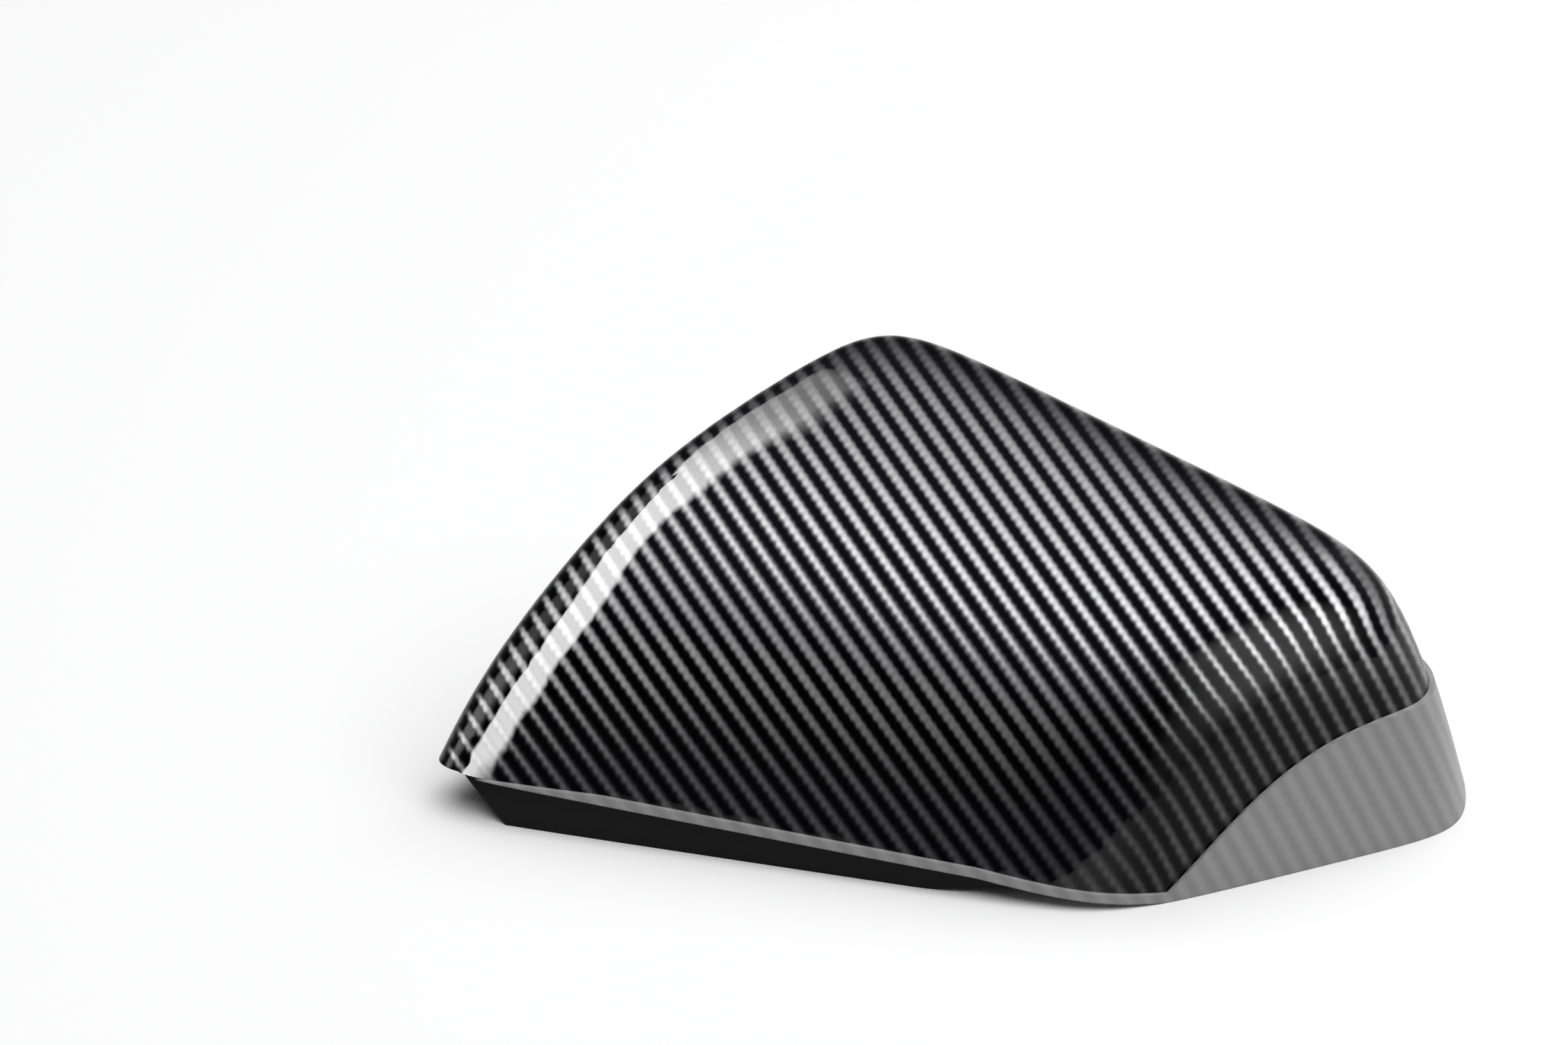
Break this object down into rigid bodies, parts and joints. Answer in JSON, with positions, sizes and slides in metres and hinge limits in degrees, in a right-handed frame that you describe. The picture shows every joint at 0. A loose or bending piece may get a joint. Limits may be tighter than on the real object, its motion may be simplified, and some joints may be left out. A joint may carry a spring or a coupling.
{
  "type": "wing mirror cover",
  "caption": "Glossy dark clip-on shell for a car's wing mirror: pointed tip, ridged crown, raised plain band at the blunt end, set-in tongue under the lip, ribs and catches inside.",
  "frame": {"origin": "centre of the cover's box, on the plane of its open rim", "axes": "+X from the pointed tip to the blunt end, +Y to the steep back wall, +Z from the rim to the crown"},
  "size_m": [0.2436, 0.1378, 0.0919],
  "materials": {
    "shell": "gloss, dark twill look"
  },
  "bodies": {
    "root": {"cover_shell": "shell"}
  },
  "joints": []
}
